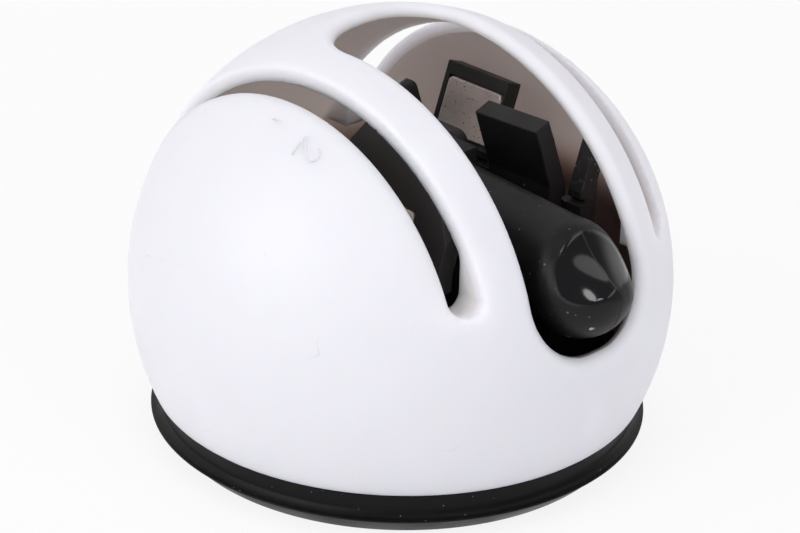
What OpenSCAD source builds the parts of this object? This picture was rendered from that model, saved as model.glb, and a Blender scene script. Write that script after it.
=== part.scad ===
// Dome knife sharpener: a white dome with two knife slots over black V-shaped
// sharpening holders, and a lever that pulls up a rubber suction cup.
// The origin is the middle of the cup's resting face, +Z is up, the lever points to -Y.

/* [Dome] */
// Outside diameter of the dome
dome_d = 80; // [78:0.5:84]
// Wall thickness of the dome
dome_wall = 2; // [1.6:0.1:2.4]
// Height from the dome's rim up to the centre of its sphere
rim_drop = 16.5; // [15.5:0.25:18]
// Outside diameter of the screw bosses inside the dome
boss_d = 6; // [5:0.25:6.5]
// Clearance between the wall and the pieces inside it
dome_clear = 0.4; // [0.3:0.05:0.6]
// Height of the screw bosses
boss_h = 9; // [8:0.5:12]
// Width of the web that joins a boss to the wall
boss_web_w = 3.6; // [3:0.1:4.5]

/* [Lever slot] */
// Width of the slot that the lever swings in
lever_slot_w = 21.5; // [21:0.25:23]
// Height of the slot's front end above the sphere's centre
lever_slot_floor = 2.1; // [0.5:0.1:3]
// Corner radius of the slot's front end
lever_slot_front_r = 9.5; // [6:0.25:10]
// How far the slot runs past the middle to the back
lever_slot_back = 8.5; // [7:0.25:12]
// Corner radius of the slot's back end
lever_slot_back_r = 8; // [5:0.25:10]

/* [Knife slots] */
// Distance between the middles of the two knife slots, as a share of the dome's diameter
knife_slot_share = 0.4875; // [0.46:0.0025:0.5]
// Width of a knife slot
knife_slot_w = 4.4; // [4.2:0.1:5]
// Height of a knife slot's round ends above the sphere's centre
knife_slot_floor = 11.6; // [10:0.1:12.4]
// Wall beside and under the slot's ends, inside the dome
slot_guide_wall = 1.5; // [1.2:0.1:2]
// Distance from the middle to the inner face of the slot's ends
slot_guide_y = 28.25; // [27:0.25:29]
// Height of the slot's ends from floor to top
slot_guide_h = 9; // [7:0.5:10]

/* [Sharpening holders] */
// Lean of each sharpening face from upright, in degrees
v_angle = 20; // [16:1:24]
// Height of the bottom of the V above the sphere's centre
v_height = 13; // [12.5:0.1:14]
// Half of the gap between facing holders at the bottom of the V
v_gap = 0.15; // [0.1:0.05:0.3]
// Thickness of a holder
holder_t = 3; // [2.6:0.1:3.2]
// Length of a holder along the slot
holder_len = 12.5; // [12:0.25:12.9]
// Length of the front holder's sharpening face, up its slope
front_up = 12; // [11:0.25:12.5]
// Rise of the front holder's top edge to its front end
front_rise = 0.7; // [0.3:0.1:1]
// Length of the rear holder's sharpening face, up its slope
rear_up = 11.2; // [10.6:0.1:11.6]
// Length of a post along the slot
post_len = 2.7; // [2.4:0.1:2.9]
// Length of a post's face, up its slope
post_up = 9.75; // [9:0.25:10.25]
// Radius of a post's top corners
post_r = 0.9; // [0.6:0.1:1.1]
// Length of a holder's foot below the V
foot_len = 12; // [11:0.25:13]
// Thickness of a holder's foot
foot_t = 2.8; // [2.4:0.1:3]
// Distance from the middle of the V to a foot
foot_in = 0.95; // [0.8:0.05:1.2]
// Height of the ledge between the V and the foot
foot_ledge = 1.2; // [0.8:0.1:1.6]
// Clearance around a foot in its socket
foot_gap = 0.1; // [0.05:0.05:0.2]
// Start of the front holder, from the middle to the back
front_holder_y = -14.5; // [-14.7:0.1:-14]
// Start of the front post
front_post_y = -17.2; // [-17.3:0.1:-16.8]
// Start of the rear holder
rear_holder_y = 1.6; // [1.2:0.1:2]
// Start of the rear post
rear_post_y = 13.5; // [13.2:0.1:14]
// Start of the tall holder in the second slot, from its back end
tall_holder_y = 3.4; // [3:0.1:4]
// Length of the tall holder
tall_holder_len = 22; // [20:0.5:22.5]
// Length of the tall holder's sharpening face, up its slope
tall_holder_up = 20; // [18:0.5:21]
// Distance from the tall holder's back end to its foot
tall_foot_in = 1; // [0.5:0.1:1.5]
// Length of the tall holder's foot along the slot
tall_foot_len_y = 18; // [16:0.5:18.5]
// Height above the V at which the tall holder's back corner starts to slope
tall_corner_z = 14; // [13:0.25:15]
// Rise of that sloped corner for each millimetre forwards
tall_corner_rise = 1.5; // [1.2:0.1:1.8]

/* [Metal inserts] */
// Length of a sharpening insert along the slot
insert_len = 11; // [10:0.25:11.4]
// Width of a sharpening insert, up the slope
insert_h = 8.3; // [7:0.1:8.8]
// Thickness of a sharpening insert
insert_t = 1.2; // [1:0.1:1.4]
// How far the insert stands out of its pocket
insert_proud = 0.2; // [0.1:0.05:0.3]
// Distance from the bottom of the V to the insert
insert_up0 = 0.8; // [0.7:0.1:1.2]
// Distance from a holder's front end to its insert
insert_end = 0.4; // [0.3:0.1:0.7]
// Corner radius of an insert
insert_r = 0.9; // [0.5:0.1:1.2]
// Distance from the tall holder's back end to its insert
tall_insert_end = 4.1; // [3.5:0.1:5]

/* [Holder blocks] */
// Width of a holder block
block_w = 12; // [11:0.25:12.4]
// Front end of the first block
block_y0 = -18; // [-18.5:0.25:-17.5]
// Front end of the second block, which carries the tall holder
tall_block_y0 = -23; // [-23.4:0.1:-22.6]
// Rear end of the blocks
block_y1 = 17.5; // [17.1:0.1:18]
// Height of the block's top above the sphere's centre
block_top = 5; // [4:0.25:5.5]
// Drop from the holders' ledges to the top of the rib that keeps their feet apart
rib_drop = 0.4; // [0.3:0.1:0.8]

/* [Lever] */
// Width of the lever's arm
lever_w = 14; // [12:0.25:15]
// Diameter of the knob at the lever's end
knob_d = 14.6; // [13:0.2:15.2]
// Distance from the lever's pin to the middle of the knob
knob_reach = 35.3; // [33:0.1:36.5]
// Drop from the lever's pin to the middle of the knob
knob_drop = 2.3; // [1.5:0.1:3]
// Drop from the lever's pin to the middle of the arm's round end
arm_drop = 0.5; // [0:0.1:1]
// Rise of the arm towards the hub, in degrees
arm_tilt = 3.2; // [2:0.2:4]
// Distance from the middle of the knob back to the arm's round end
arm_setback = 2.2; // [1.8:0.1:3]
// Radius of the thumb dish along the lever
dish_r = 18; // [16:0.5:20]
// Radius of the dish's crown across the lever, where it is narrowest
dish_bow = 7.4; // [6.5:0.1:8.5]
// Lean of the dish's middle to the front, in degrees
dish_lean = 5.7; // [4:0.1:8]
// Distance of the dish's centre in front of the knob's middle
dish_front = 14.3; // [13.5:0.1:15]
// Height of the dish's centre above the knob's middle
dish_rise = 18; // [17.5:0.1:18.5]
// Radius of the lever's hub
hub_r = 8.4; // [8:0.1:8.6]
// Length of the flat heel in front of the lever's cam
hub_heel = 2.6; // [2:0.1:3]
// Drop from the pin to the front of the hub's underside
hub_chin = 5.6; // [4.5:0.1:6.5]
// How far the hub's sides stand in from the arm's
hub_inset = 0.3; // [0.2:0.05:0.5]
// Distance from the pin to the arm's inner end
arm_root = 4; // [3:0.1:5]
// How far the lever lifts, in degrees
lever_lift = 80; // [60:1:85]

/* [Pin and stem] */
// Height of the lever's pin above the sphere's centre
pin_height = 13.5; // [13:0.1:14.5]
// Diameter of the lever's pin
pin_d = 4; // [3.5:0.1:4.4]
// Running clearance around the pin and the stem, on the radius
run_gap = 0.05; // [0.03:0.01:0.08]
// Diameter of the stem
stem_d = 6; // [5:0.1:6.4]
// Travel of the stem over the lever's swing
stem_travel = 3; // [2:0.1:3.2]
// Clearance between the stem's tongue and the fork, each side
tongue_gap = 0.3; // [0.2:0.05:0.4]
// Width of the stem's tongue along the arm
tongue_w = 10; // [9:0.25:10.5]
// Width of the shoulder that the plate at the stem's foot sits under
stem_shoulder = 1; // [0.8:0.1:1.2]
// Diameter of the plate at the stem's foot
stem_plate_d = 26; // [22:0.5:28]
// Thickness of the plate at the stem's foot
stem_plate_t = 1.6; // [1.2:0.1:1.8]
// Outside diameter of the pin's retaining rings
clip_d = 6; // [5.5:0.25:6.5]
// Thickness of the pin's retaining rings
clip_t = 0.6; // [0.5:0.1:0.8]
// Depth of the rings' grooves in the pin
clip_groove = 0.4; // [0.3:0.05:0.5]

/* [Lever bracket] */
// Clearance between the lever and the bracket's cheeks, each side
cheek_gap = 0.7; // [0.5:0.05:0.8]
// Thickness of a cheek
cheek_t = 2.5; // [2:0.1:2.6]
// Distance from the pin to a cheek's front edge
cheek_front = 3.1; // [3:0.1:3.6]
// Depth of a cheek, front to back
cheek_depth = 8; // [7.5:0.25:9]
// Height of the cheeks' tops above the pin
cheek_rise = 7.4; // [7:0.1:8]
// Corner radius of the cheeks
cheek_r = 2; // [1.5:0.25:2.5]
// Depth of the bracket's column, front to back
column_depth = 15; // [14:0.25:16]
// Gap between the bracket's foot and the blocks beside it
bracket_foot_gap = 1.5; // [1:0.1:2]
// Depth of the bracket's foot
bracket_foot_d = 22; // [20:0.5:24]
// Thickness of the bracket's foot
bracket_foot_t = 4; // [3:0.25:5]
// Outside diameter of the stem's bush
bush_d = 9; // [8.4:0.1:10]
// Length of the stem's bush
bush_len = 14; // [12:0.5:15]
// Distance from the pin down to the wear plate at rest
cam_reach = 9.1; // [8.8:0.1:9.4]
// Clearance between the lever's cam and the wear plate
cam_gap = 0.1; // [0.05:0.05:0.2]
// Thickness of the wear plate
wear_t = 0.5; // [0.4:0.1:0.8]

/* [Base] */
// Height of the rubber cup's flange
cup_h = 3.2; // [2.8:0.1:3.6]
// Height of the neck between the cup and the dome
neck_h = 3.8; // [3:0.1:4.5]
// How far the neck stands in from the dome's rim
neck_inset = 1; // [0.6:0.1:1.4]
// Height of the step that centres the dome on the base
spigot_h = 3; // [2.5:0.1:3.4]
// Clearance between that step and the dome
spigot_gap = 0.2; // [0.1:0.05:0.3]
// Thickness of the base plate's floor
floor_t = 3.2; // [3:0.1:3.4]
// Width of the base plate's neck ring
neck_ring_w = 3.6; // [3.4:0.1:4]
// How far the cup's top edge stands out past the neck
cup_lip = 1.5; // [1:0.05:1.8]
// How far the cup's outer face slopes in down to its foot
cup_taper = 3.2; // [2.5:0.1:4]
// Height of the cup's straight top edge
cup_edge_h = 0.3; // [0.2:0.1:0.6]
// Width of the cup's resting face
cup_rest_w = 3.5; // [3:0.25:4.5]
// Thickness of the cup's skin
cup_skin = 1.5; // [1.2:0.1:1.7]
// Width of the bead that holds the cup in the base
bead_w = 1.4; // [1.2:0.1:1.6]
// Height of that bead
bead_h = 1.6; // [1.2:0.1:2]
// Clearance around the bead, and between the cup and the stem's plate
cup_gap = 0.2; // [0.1:0.05:0.3]
// Gap between the stem's plate and the floor above it
plate_gap = 0.3; // [0.2:0.05:0.4]

/* [Screws] */
// Diameter of a screw's shank
screw_d = 3; // [2.6:0.1:3.2]
// Diameter of a screw's head
screw_head_d = 5.6; // [5:0.1:5.8]
// Height of a screw's head
screw_head_h = 1.6; // [1.4:0.1:1.7]
// Clearance around a screw's shank
screw_gap = 0.1; // [0.05:0.05:0.15]
// Distance from the dome's inner rim to its screws
dome_screw_in = 5.2; // [4.8:0.1:5.4]
// Length of the dome's screws under the head
dome_screw_len = 9; // [8:0.5:9.5]
// Length of the blocks' screws under the head
block_screw_len = 10; // [8:0.5:12]
// Distance between the two screws of a block
block_screw_pitch = 22; // [18:0.5:24]
// Length of the bracket's screws under the head
bracket_screw_len = 4.8; // [4.4:0.1:5]
// Distance from the sides of the bracket's foot to its screws
bracket_screw_in = 3; // [3:0.1:3.4]
// Distance between the bracket's screws, front to back
bracket_screw_y = 16; // [15:0.25:16]

/* [Hidden] */
$fn = 64;

dome_r = dome_d / 2;
inner_r = dome_r - dome_wall;
rim_z = cup_h + neck_h;
dome_z = rim_z + rim_drop;
rim_out_r = sqrt(dome_r * dome_r - rim_drop * rim_drop);
rim_in_r = sqrt(inner_r * inner_r - rim_drop * rim_drop);
spigot_r = rim_in_r - spigot_gap;
neck_r = rim_out_r - neck_inset;
floor_top = rim_z + spigot_h;
floor_z = floor_top - floor_t;
neck_in_r = neck_r - neck_ring_w;
span = 2 * dome_d;
eps = 0.01;
over = 1;

slot_x = knife_slot_share * dome_d / 2;
v_z = dome_z + v_height;
block_z1 = dome_z + block_top;
rib_half = foot_in - foot_gap;
v_sin = sin(v_angle);
v_cos = cos(v_angle);
tall_foot_y = tall_holder_y + tall_foot_in;

pin_z = dome_z + pin_height;
pin_r = pin_d / 2;
stem_r = stem_d / 2;
arm_r = lever_w / 2;
hub_half = arm_r - hub_inset;
arm_len = knob_reach - arm_setback;
wear_z1 = pin_z - cam_reach - cam_gap;
wear_z0 = wear_z1 - wear_t;
cam_rate = stem_travel / (lever_lift * PI / 180);
cam_step = 5;
cam_end = lever_lift + cam_step;
fork_w = stem_d + 2 * tongue_gap;
tongue_r = tongue_w / 2;
tongue_z0 = wear_z1 + stem_travel + tongue_gap;
fork_r = max(norm([tongue_r, pin_z - tongue_z0]), norm([stem_r, cam_reach])) + tongue_gap;
cheek_x = arm_r + cheek_gap;
bracket_x = cheek_x + cheek_t;
bracket_foot_w = 2 * (slot_x - block_w / 2 - bracket_foot_gap);
bracket_screw_x = bracket_foot_w - 2 * bracket_screw_in;
cheek_top = pin_z + cheek_rise;
clip_x = bracket_x + cheek_gap / 2;
pin_half = clip_x + 2 * clip_t;
groove_r = pin_r - clip_groove;
plate_z1 = floor_z - plate_gap;
plate_z0 = plate_z1 - stem_plate_t;
plate_r = stem_plate_d / 2;
stem_tip_r = stem_r - stem_shoulder;

cup_top_r = neck_r + cup_lip;
cup_foot_r = cup_top_r - cup_taper;
cup_rest_r = cup_foot_r - cup_rest_w;
skin_z1 = plate_z0 - cup_gap;
skin_z0 = skin_z1 - cup_skin;
bead_r = (neck_in_r + neck_r) / 2;

dome_screw_r = rim_in_r - dome_screw_in;
shank_r = screw_d / 2;
hole_r = shank_r + screw_gap;
head_r = screw_head_d / 2;
head_z = floor_z + screw_head_h;

white = "whitesmoke";
black = "#1c1c1e";
rubber = "#2a2a2c";
steel = "silver";
carbide = "#8d8783";

// A square outline with round corners at its lower end.
module round_foot_outline(half_w, low, high, r) {
    for (side = [-1, 1]) translate([side * (half_w - r), low + r]) circle(r);
    translate([r - half_w, low]) square([2 * (half_w - r), 2 * r]);
    translate([-half_w, low + r]) square([2 * half_w, high - low - r]);
}

// A rectangle with four round corners, from the origin.
module round_rect(w, h, r) {
    for (x = [r, w - r]) for (y = [r, h - r]) translate([x, y]) circle(r);
    translate([r, 0]) square([w - 2 * r, h]);
    translate([0, r]) square([w, h - 2 * r]);
}

// Turns an outline in X and Z into a bar along Y, from y0 to y1.
module along_y(y0, y1) {
    translate([0, y1, 0]) rotate([90, 0, 0]) linear_extrude(height = y1 - y0) children();
}

// Puts a shape at each of the dome's four screws.
module at_dome_screws() {
    for (turn = [0 : 90 : 270]) rotate(turn) translate([dome_screw_r, 0, 0]) children();
}

// Puts a shape at each of the blocks' screws, two in each block.
module at_block_screws() {
    for (side = [-1, 1]) for (end = [-1, 1])
        translate([side * slot_x, end * block_screw_pitch / 2, 0]) children();
}

// Puts a shape at each of the bracket's four screws.
module at_bracket_screws() {
    for (x = [-1, 1]) for (y = [-1, 1])
        translate([x * bracket_screw_x / 2, y * bracket_screw_y / 2, 0]) children();
}

// A pan head screw that comes up through the floor.
module screw(len) {
    translate([0, 0, floor_z]) cylinder(r = head_r, h = screw_head_h);
    translate([0, 0, head_z - eps]) cylinder(r = shank_r, h = len + eps);
}

// The hole that a screw bites into.
module screw_pilot(len) {
    translate([0, 0, floor_top - eps]) cylinder(r = hole_r, h = head_z + len - floor_top + screw_gap + eps);
}

// The hole and head recess for a screw in the floor.
module screw_hole() {
    translate([0, 0, floor_z - eps]) cylinder(r = head_r + screw_gap, h = screw_head_h + eps);
    translate([0, 0, floor_z]) cylinder(r = hole_r, h = floor_t + eps);
}

module lever_slot_cut() {
    intersection() {
        along_y(-span / 2, span / 2)
            round_foot_outline(lever_slot_w / 2, dome_z + lever_slot_floor, dome_z + span / 2,
                lever_slot_front_r);
        translate([0, 0, dome_z]) linear_extrude(height = span / 2) rotate(180)
            round_foot_outline(lever_slot_w / 2, -lever_slot_back, span / 2, lever_slot_back_r);
    }
}

module knife_slot_cut(x) {
    translate([x, 0, 0]) along_y(-span / 2, span / 2)
        round_foot_outline(knife_slot_w / 2, dome_z + knife_slot_floor, dome_z + span / 2,
            knife_slot_w / 2 - eps);
}

// Thick ends of the knife slots, inside the dome.
module slot_guides() {
    guide_w = knife_slot_w + 2 * slot_guide_wall;
    guide_z = dome_z + knife_slot_floor - slot_guide_wall;
    for (x = [-1, 1]) for (y = [-1, 1])
        translate([x * slot_x - guide_w / 2, y > 0 ? slot_guide_y : -dome_r, guide_z])
            cube([guide_w, dome_r - slot_guide_y, slot_guide_wall + slot_guide_h]);
}

// Bosses for the dome's screws, each joined to the wall by a web.
module dome_bosses() {
    at_dome_screws() translate([0, 0, floor_top]) {
        cylinder(d = boss_d, h = boss_h);
        translate([0, -boss_web_w / 2, 0]) cube([dome_r - dome_screw_r, boss_web_w, boss_h]);
    }
}

module dome_shell() {
    color(white) difference() {
        union() {
            difference() {
                translate([0, 0, dome_z]) sphere(dome_r);
                translate([0, 0, dome_z]) sphere(inner_r);
                translate([0, 0, rim_z - span / 2]) cube([span, span, span], center = true);
            }
            intersection() {
                union() {
                    slot_guides();
                    dome_bosses();
                }
                translate([0, 0, dome_z]) sphere(dome_r - dome_wall / 2);
            }
        }
        lever_slot_cut();
        for (side = [-1, 1]) knife_slot_cut(side * slot_x);
        at_dome_screws() screw_pilot(dome_screw_len);
    }
}

module base_plate() {
    color(black) difference() {
        rotate_extrude() polygon([[0, floor_z], [neck_in_r, floor_z], [neck_in_r, cup_h], [neck_r, cup_h],
            [neck_r, rim_z], [spigot_r, rim_z], [spigot_r, floor_top], [0, floor_top]]);
        translate([0, 0, cup_h - eps]) difference() {
            cylinder(r = bead_r + bead_w / 2 + cup_gap, h = bead_h + cup_gap + eps);
            translate([0, 0, -eps]) cylinder(r = bead_r - bead_w / 2 - cup_gap, h = bead_h + over);
        }
        translate([0, 0, floor_z - eps]) cylinder(r = stem_r + tongue_gap, h = floor_t + 2 * eps);
        at_dome_screws() screw_hole();
        at_block_screws() screw_hole();
        at_bracket_screws() screw_hole();
    }
}

module suction_cup() {
    skin_r = plate_r + cup_skin;
    color(rubber) rotate_extrude() polygon([[0, skin_z0], [skin_r, skin_z0], [cup_rest_r, 0], [cup_foot_r, 0],
        [cup_top_r, cup_h - cup_edge_h], [cup_top_r, cup_h],
        [bead_r + bead_w / 2, cup_h], [bead_r + bead_w / 2, cup_h + bead_h],
        [bead_r - bead_w / 2, cup_h + bead_h], [bead_r - bead_w / 2, cup_h],
        [neck_in_r, cup_h], [cup_rest_r - cup_skin / 2, cup_skin], [skin_r, skin_z1], [0, skin_z1]]);
}

module lever_bracket() {
    pin_slot_r = pin_r + run_gap;
    color(black) difference() {
        union() {
            translate([-bracket_foot_w / 2, -bracket_foot_d / 2, floor_top])
                cube([bracket_foot_w, bracket_foot_d, bracket_foot_t]);
            translate([-bracket_x, -column_depth / 2, floor_top])
                cube([2 * bracket_x, column_depth, wear_z0 - floor_top]);
            for (side = [-1, 1]) translate([side * (cheek_x + cheek_t / 2) - cheek_t / 2, 0, floor_top])
                rotate([90, 0, 90]) linear_extrude(height = cheek_t) translate([-cheek_front, 0])
                    round_rect(cheek_depth, cheek_top - floor_top, cheek_r);
        }
        translate([0, 0, floor_top - eps]) cylinder(d = bush_d, h = bush_len + eps);
        translate([0, 0, floor_top]) cylinder(r = stem_r + tongue_gap, h = span);
        for (drop = [0, stem_travel]) translate([0, 0, pin_z - drop]) rotate([0, 90, 0])
            cylinder(r = pin_slot_r, h = span, center = true);
        translate([-span / 2, -pin_slot_r, pin_z - stem_travel]) cube([span, 2 * pin_slot_r, stem_travel]);
        at_bracket_screws() screw_pilot(bracket_screw_len);
    }
}

module stem_bush() {
    color(steel) translate([0, 0, floor_top]) difference() {
        cylinder(d = bush_d, h = bush_len);
        translate([0, 0, -eps]) cylinder(r = stem_r + run_gap, h = bush_len + 2 * eps);
    }
}

module wear_plate() {
    color(steel) translate([0, 0, wear_z0]) difference() {
        translate([-arm_r, -column_depth / 2, 0]) cube([lever_w, column_depth, wear_t]);
        translate([0, 0, -eps]) cylinder(r = stem_r + tongue_gap, h = wear_t + 2 * eps);
    }
}

// The section of a holder on the -X side of its V, from the bottom of the V.
module holder_section(up) {
    top = [-v_gap - up * v_sin, up * v_cos];
    back = top + holder_t * [-v_cos, -v_sin];
    foot_x = -foot_in - foot_t;
    knee = [foot_x, back[1] - (foot_x - back[0]) * v_cos / v_sin];
    polygon([[-v_gap, 0], top, back, knee, [foot_x, -foot_len], [-foot_in, -foot_len],
        [-foot_in, -foot_ledge], [-v_gap, -foot_ledge]]);
}

// Moves a shape from the first slot's V to its place, on the inner or the outer side.
module at_v(inner, y) {
    translate([slot_x, y, v_z]) mirror([inner ? 0 : 1, 0, 0]) children();
}

// Turns a shape to lie on the sharpening face of an inner holder, with Z up the slope.
module on_face() {
    translate([-v_gap, 0, 0]) rotate([0, -v_angle, 0]) children();
}

// The pocket for an insert, from the start of the holder.
module insert_pocket(end) {
    depth = insert_t - insert_proud;
    on_face() translate([-depth, end - foot_gap, insert_up0 - foot_gap])
        cube([depth + over, insert_len + 2 * foot_gap, insert_h + 2 * foot_gap]);
}

module insert_plate(end) {
    on_face() translate([insert_proud - insert_t, end, insert_up0]) rotate([90, 0, 90])
        linear_extrude(height = insert_t) round_rect(insert_len, insert_h, insert_r);
}

// The room inside the dome's wall.
module dome_room() {
    translate([0, 0, dome_z]) sphere(inner_r - dome_clear);
}

// A holder with a pocket for its insert. Its top edge rises by so much to its front end.
module holder(inner, y, up, rise, end) {
    color(black) difference() {
        intersection() {
            at_v(inner, y) along_y(0, holder_len) holder_section(up + rise);
            dome_room();
        }
        at_v(inner, y) insert_pocket(end);
        if (rise > 0) at_v(inner, y) on_face() translate([-span / 2, holder_len, up])
            rotate([-atan(rise / holder_len), 0, 0]) translate([0, -span / 2, 0]) cube(span);
    }
}

// A short post with round top corners, which closes the V across from a holder.
module post(inner, y) {
    color(black) intersection() {
        at_v(inner, y) along_y(0, post_len) holder_section(post_up);
        at_v(inner, y) on_face() translate([-span / 2, post_len / 2, 0]) rotate([90, 0, 90])
            linear_extrude(height = span) rotate(180)
                round_foot_outline(post_len / 2, -post_up, span / 2, post_r);
        dome_room();
    }
}

// Puts a piece of the first slot in the second one.
module other_side() {
    mirror([1, 0, 0]) children();
}

// The tall holder stands behind the second slot's V and follows the inside of the dome.
module tall_holder() {
    reach = inner_r - dome_wall;
    color(black) difference() {
        intersection() {
            at_v(true, tall_holder_y) along_y(0, tall_holder_len) holder_section(tall_holder_up);
            translate([0, 0, dome_z]) sphere(reach);
        }
        at_v(true, tall_holder_y) insert_pocket(tall_insert_end);
        at_v(true, tall_foot_y + tall_foot_len_y) translate([-span / 2, 0, -span - foot_ledge])
            cube([span, span, span]);
        at_v(true, tall_foot_y) translate([-span / 2, -span, -span - foot_ledge])
            cube([span, span, span]);
        at_v(true, tall_holder_y) translate([-span / 2, 0, tall_corner_z]) rotate([90, 0, 90])
            linear_extrude(height = span)
                polygon([[-over, -over * tall_corner_rise], [-over, span],
                    [dome_r, dome_r * tall_corner_rise]]);
    }
}

// A socket for a foot, from the start of its holder.
module foot_socket(inner, y, len) {
    at_v(inner, y) translate([-foot_in - foot_t - foot_gap, -foot_gap, -foot_len - foot_gap])
        cube([foot_t + 2 * foot_gap, len + 2 * foot_gap, foot_len]);
}

module holder_block(y0, tall) {
    difference() {
        intersection() {
            union() {
                translate([slot_x - block_w / 2, y0, floor_top])
                    cube([block_w, block_y1 - y0, block_z1 - floor_top]);
                translate([slot_x - rib_half, y0, floor_top])
                    cube([2 * rib_half, block_y1 - y0, v_z - foot_ledge - rib_drop - floor_top]);
            }
            dome_room();
        }
        at_dome_screws() translate([0, 0, floor_top - eps])
            cylinder(d = boss_d + 2 * dome_clear, h = boss_h + over);
        foot_socket(false, rear_holder_y, holder_len);
        foot_socket(true, rear_post_y, post_len);
        foot_socket(false, front_post_y, post_len);
        if (tall) foot_socket(true, -tall_foot_y - tall_foot_len_y, tall_foot_len_y);
        else foot_socket(true, front_holder_y, holder_len);
        at_block_screws() screw_pilot(block_screw_len);
    }
}

module right_block() { color(black) holder_block(block_y0, false); }
module left_block() { color(black) other_side() holder_block(tall_block_y0, true); }

module right_front_holder() { holder(true, front_holder_y, front_up, front_rise, insert_end); }
module right_front_post() { post(false, front_post_y); }
module right_rear_holder() { holder(false, rear_holder_y, rear_up, 0, insert_end); }
module right_rear_post() { post(true, rear_post_y); }
module left_front_holder() { rotate(180) tall_holder(); }
module left_front_post() { other_side() right_front_post(); }
module left_rear_holder() { other_side() right_rear_holder(); }
module left_rear_post() { other_side() right_rear_post(); }
module right_front_insert() { color(carbide) at_v(true, front_holder_y) insert_plate(insert_end); }
module right_rear_insert() { color(carbide) at_v(false, rear_holder_y) insert_plate(insert_end); }
module left_front_insert() {
    color(carbide) rotate(180) at_v(true, tall_holder_y) insert_plate(tall_insert_end);
}
module left_rear_insert() { other_side() right_rear_insert(); }

module dome_screws() { color(steel) at_dome_screws() screw(dome_screw_len); }
module block_screws() { color(steel) at_block_screws() screw(block_screw_len); }
module bracket_screws() { color(steel) at_bracket_screws() screw(bracket_screw_len); }

module stem() {
    color(steel) difference() {
        union() {
            translate([0, 0, plate_z0]) cylinder(r = stem_tip_r, h = stem_plate_t + eps);
            translate([0, 0, plate_z1]) cylinder(r = stem_r, h = tongue_z0 - plate_z1 + eps);
            translate([-stem_d / 2, -tongue_r, tongue_z0]) cube([stem_d, tongue_w, pin_z - tongue_z0]);
            translate([0, 0, pin_z]) rotate([0, 90, 0]) cylinder(r = tongue_r, h = stem_d, center = true);
        }
        translate([0, 0, pin_z]) rotate([0, 90, 0]) cylinder(r = pin_r + run_gap, h = span, center = true);
    }
}

module stem_plate() {
    color(steel) translate([0, 0, plate_z0]) difference() {
        cylinder(r = plate_r, h = stem_plate_t);
        translate([0, 0, -eps]) cylinder(r = stem_tip_r + run_gap, h = stem_plate_t + 2 * eps);
    }
}

module lever_pin() {
    color(steel) translate([0, 0, pin_z]) rotate([0, 90, 0]) difference() {
        cylinder(r = pin_r, h = 2 * pin_half, center = true);
        for (side = [-1, 1]) translate([0, 0, side * (clip_x + clip_t / 2)]) difference() {
            cylinder(r = pin_r + over, h = clip_t + 2 * run_gap, center = true);
            cylinder(r = groove_r, h = clip_t + over, center = true);
        }
    }
}

module pin_rings() {
    color(steel) translate([0, 0, pin_z]) rotate([0, 90, 0])
        for (side = [-1, 1]) translate([0, 0, side * (clip_x + clip_t / 2)]) difference() {
            cylinder(d = clip_d, h = clip_t, center = true);
            cylinder(r = groove_r + run_gap, h = clip_t + over, center = true);
        }
}

// Outline of the hub in Y and Z about the pin. Its lower back edge is the cam: the
// distance down to the wear plate falls by the same amount for each degree of lift.
function cam_point(lift) =
    let (reach = cam_reach - cam_rate * lift * PI / 180)
    [reach * sin(lift) - cam_rate * cos(lift), -reach * cos(lift) - cam_rate * sin(lift)];

module hub_outline() {
    last = cam_point(cam_end);
    hub_brow = arm_r - arm_drop + (arm_len - hub_r) * tan(arm_tilt);
    top_back = [for (a = [30 : 10 : 90]) min(hub_r, last[0] / cos(min(a, 80))) * [cos(a), sin(a)]];
    polygon(concat([for (lift = [0 : cam_step : cam_end]) cam_point(lift)], top_back,
        [[-hub_r, hub_brow], [-hub_r, -hub_chin], [-cam_rate - hub_heel, -cam_reach]]));
}

// Half of the arm's outline, from the middle of its round end to inside the hub.
module arm_outline() {
    intersection() {
        translate([0, -arm_r]) square([arm_r, arm_r + arm_len]);
        union() {
            circle(arm_r);
            square([arm_r, arm_len - arm_root]);
        }
    }
}

module lever() {
    knob = [0, -knob_reach, pin_z - knob_drop];
    color(black) difference() {
        union() {
            translate([0, -arm_len, pin_z - arm_drop]) rotate([arm_tilt - 90, 0, 0])
                rotate_extrude() arm_outline();
            translate(knob) rotate([0, 90, 0]) sphere(d = knob_d);
            translate([-hub_half, 0, pin_z]) rotate([90, 0, 90])
                linear_extrude(height = 2 * hub_half) hub_outline();
        }
        translate(knob + [0, -dish_front, dish_rise]) rotate([dish_lean, 0, 0])
            translate([0, 0, -dish_r - dish_bow]) rotate([90, 0, 0])
                rotate_extrude() translate([dish_r + dish_bow, 0]) circle(dish_r);
        translate([0, 0, pin_z]) rotate([0, 90, 0]) cylinder(r = fork_r, h = fork_w, center = true);
        translate([0, 0, pin_z]) rotate([0, 90, 0]) cylinder(r = pin_r + run_gap, h = span, center = true);
    }
}

dome_shell();
base_plate();
suction_cup();
lever_bracket();
stem_bush();
wear_plate();
right_block();
left_block();
right_front_holder();
right_front_post();
right_rear_holder();
right_rear_post();
left_front_holder();
left_front_post();
left_rear_holder();
left_rear_post();
right_front_insert();
right_rear_insert();
left_front_insert();
left_rear_insert();
dome_screws();
block_screws();
bracket_screws();
stem();
stem_plate();
lever_pin();
pin_rings();
lever();
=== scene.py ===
import math

import bmesh
import bpy
import numpy as np
from mathutils import Matrix, Vector


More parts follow.
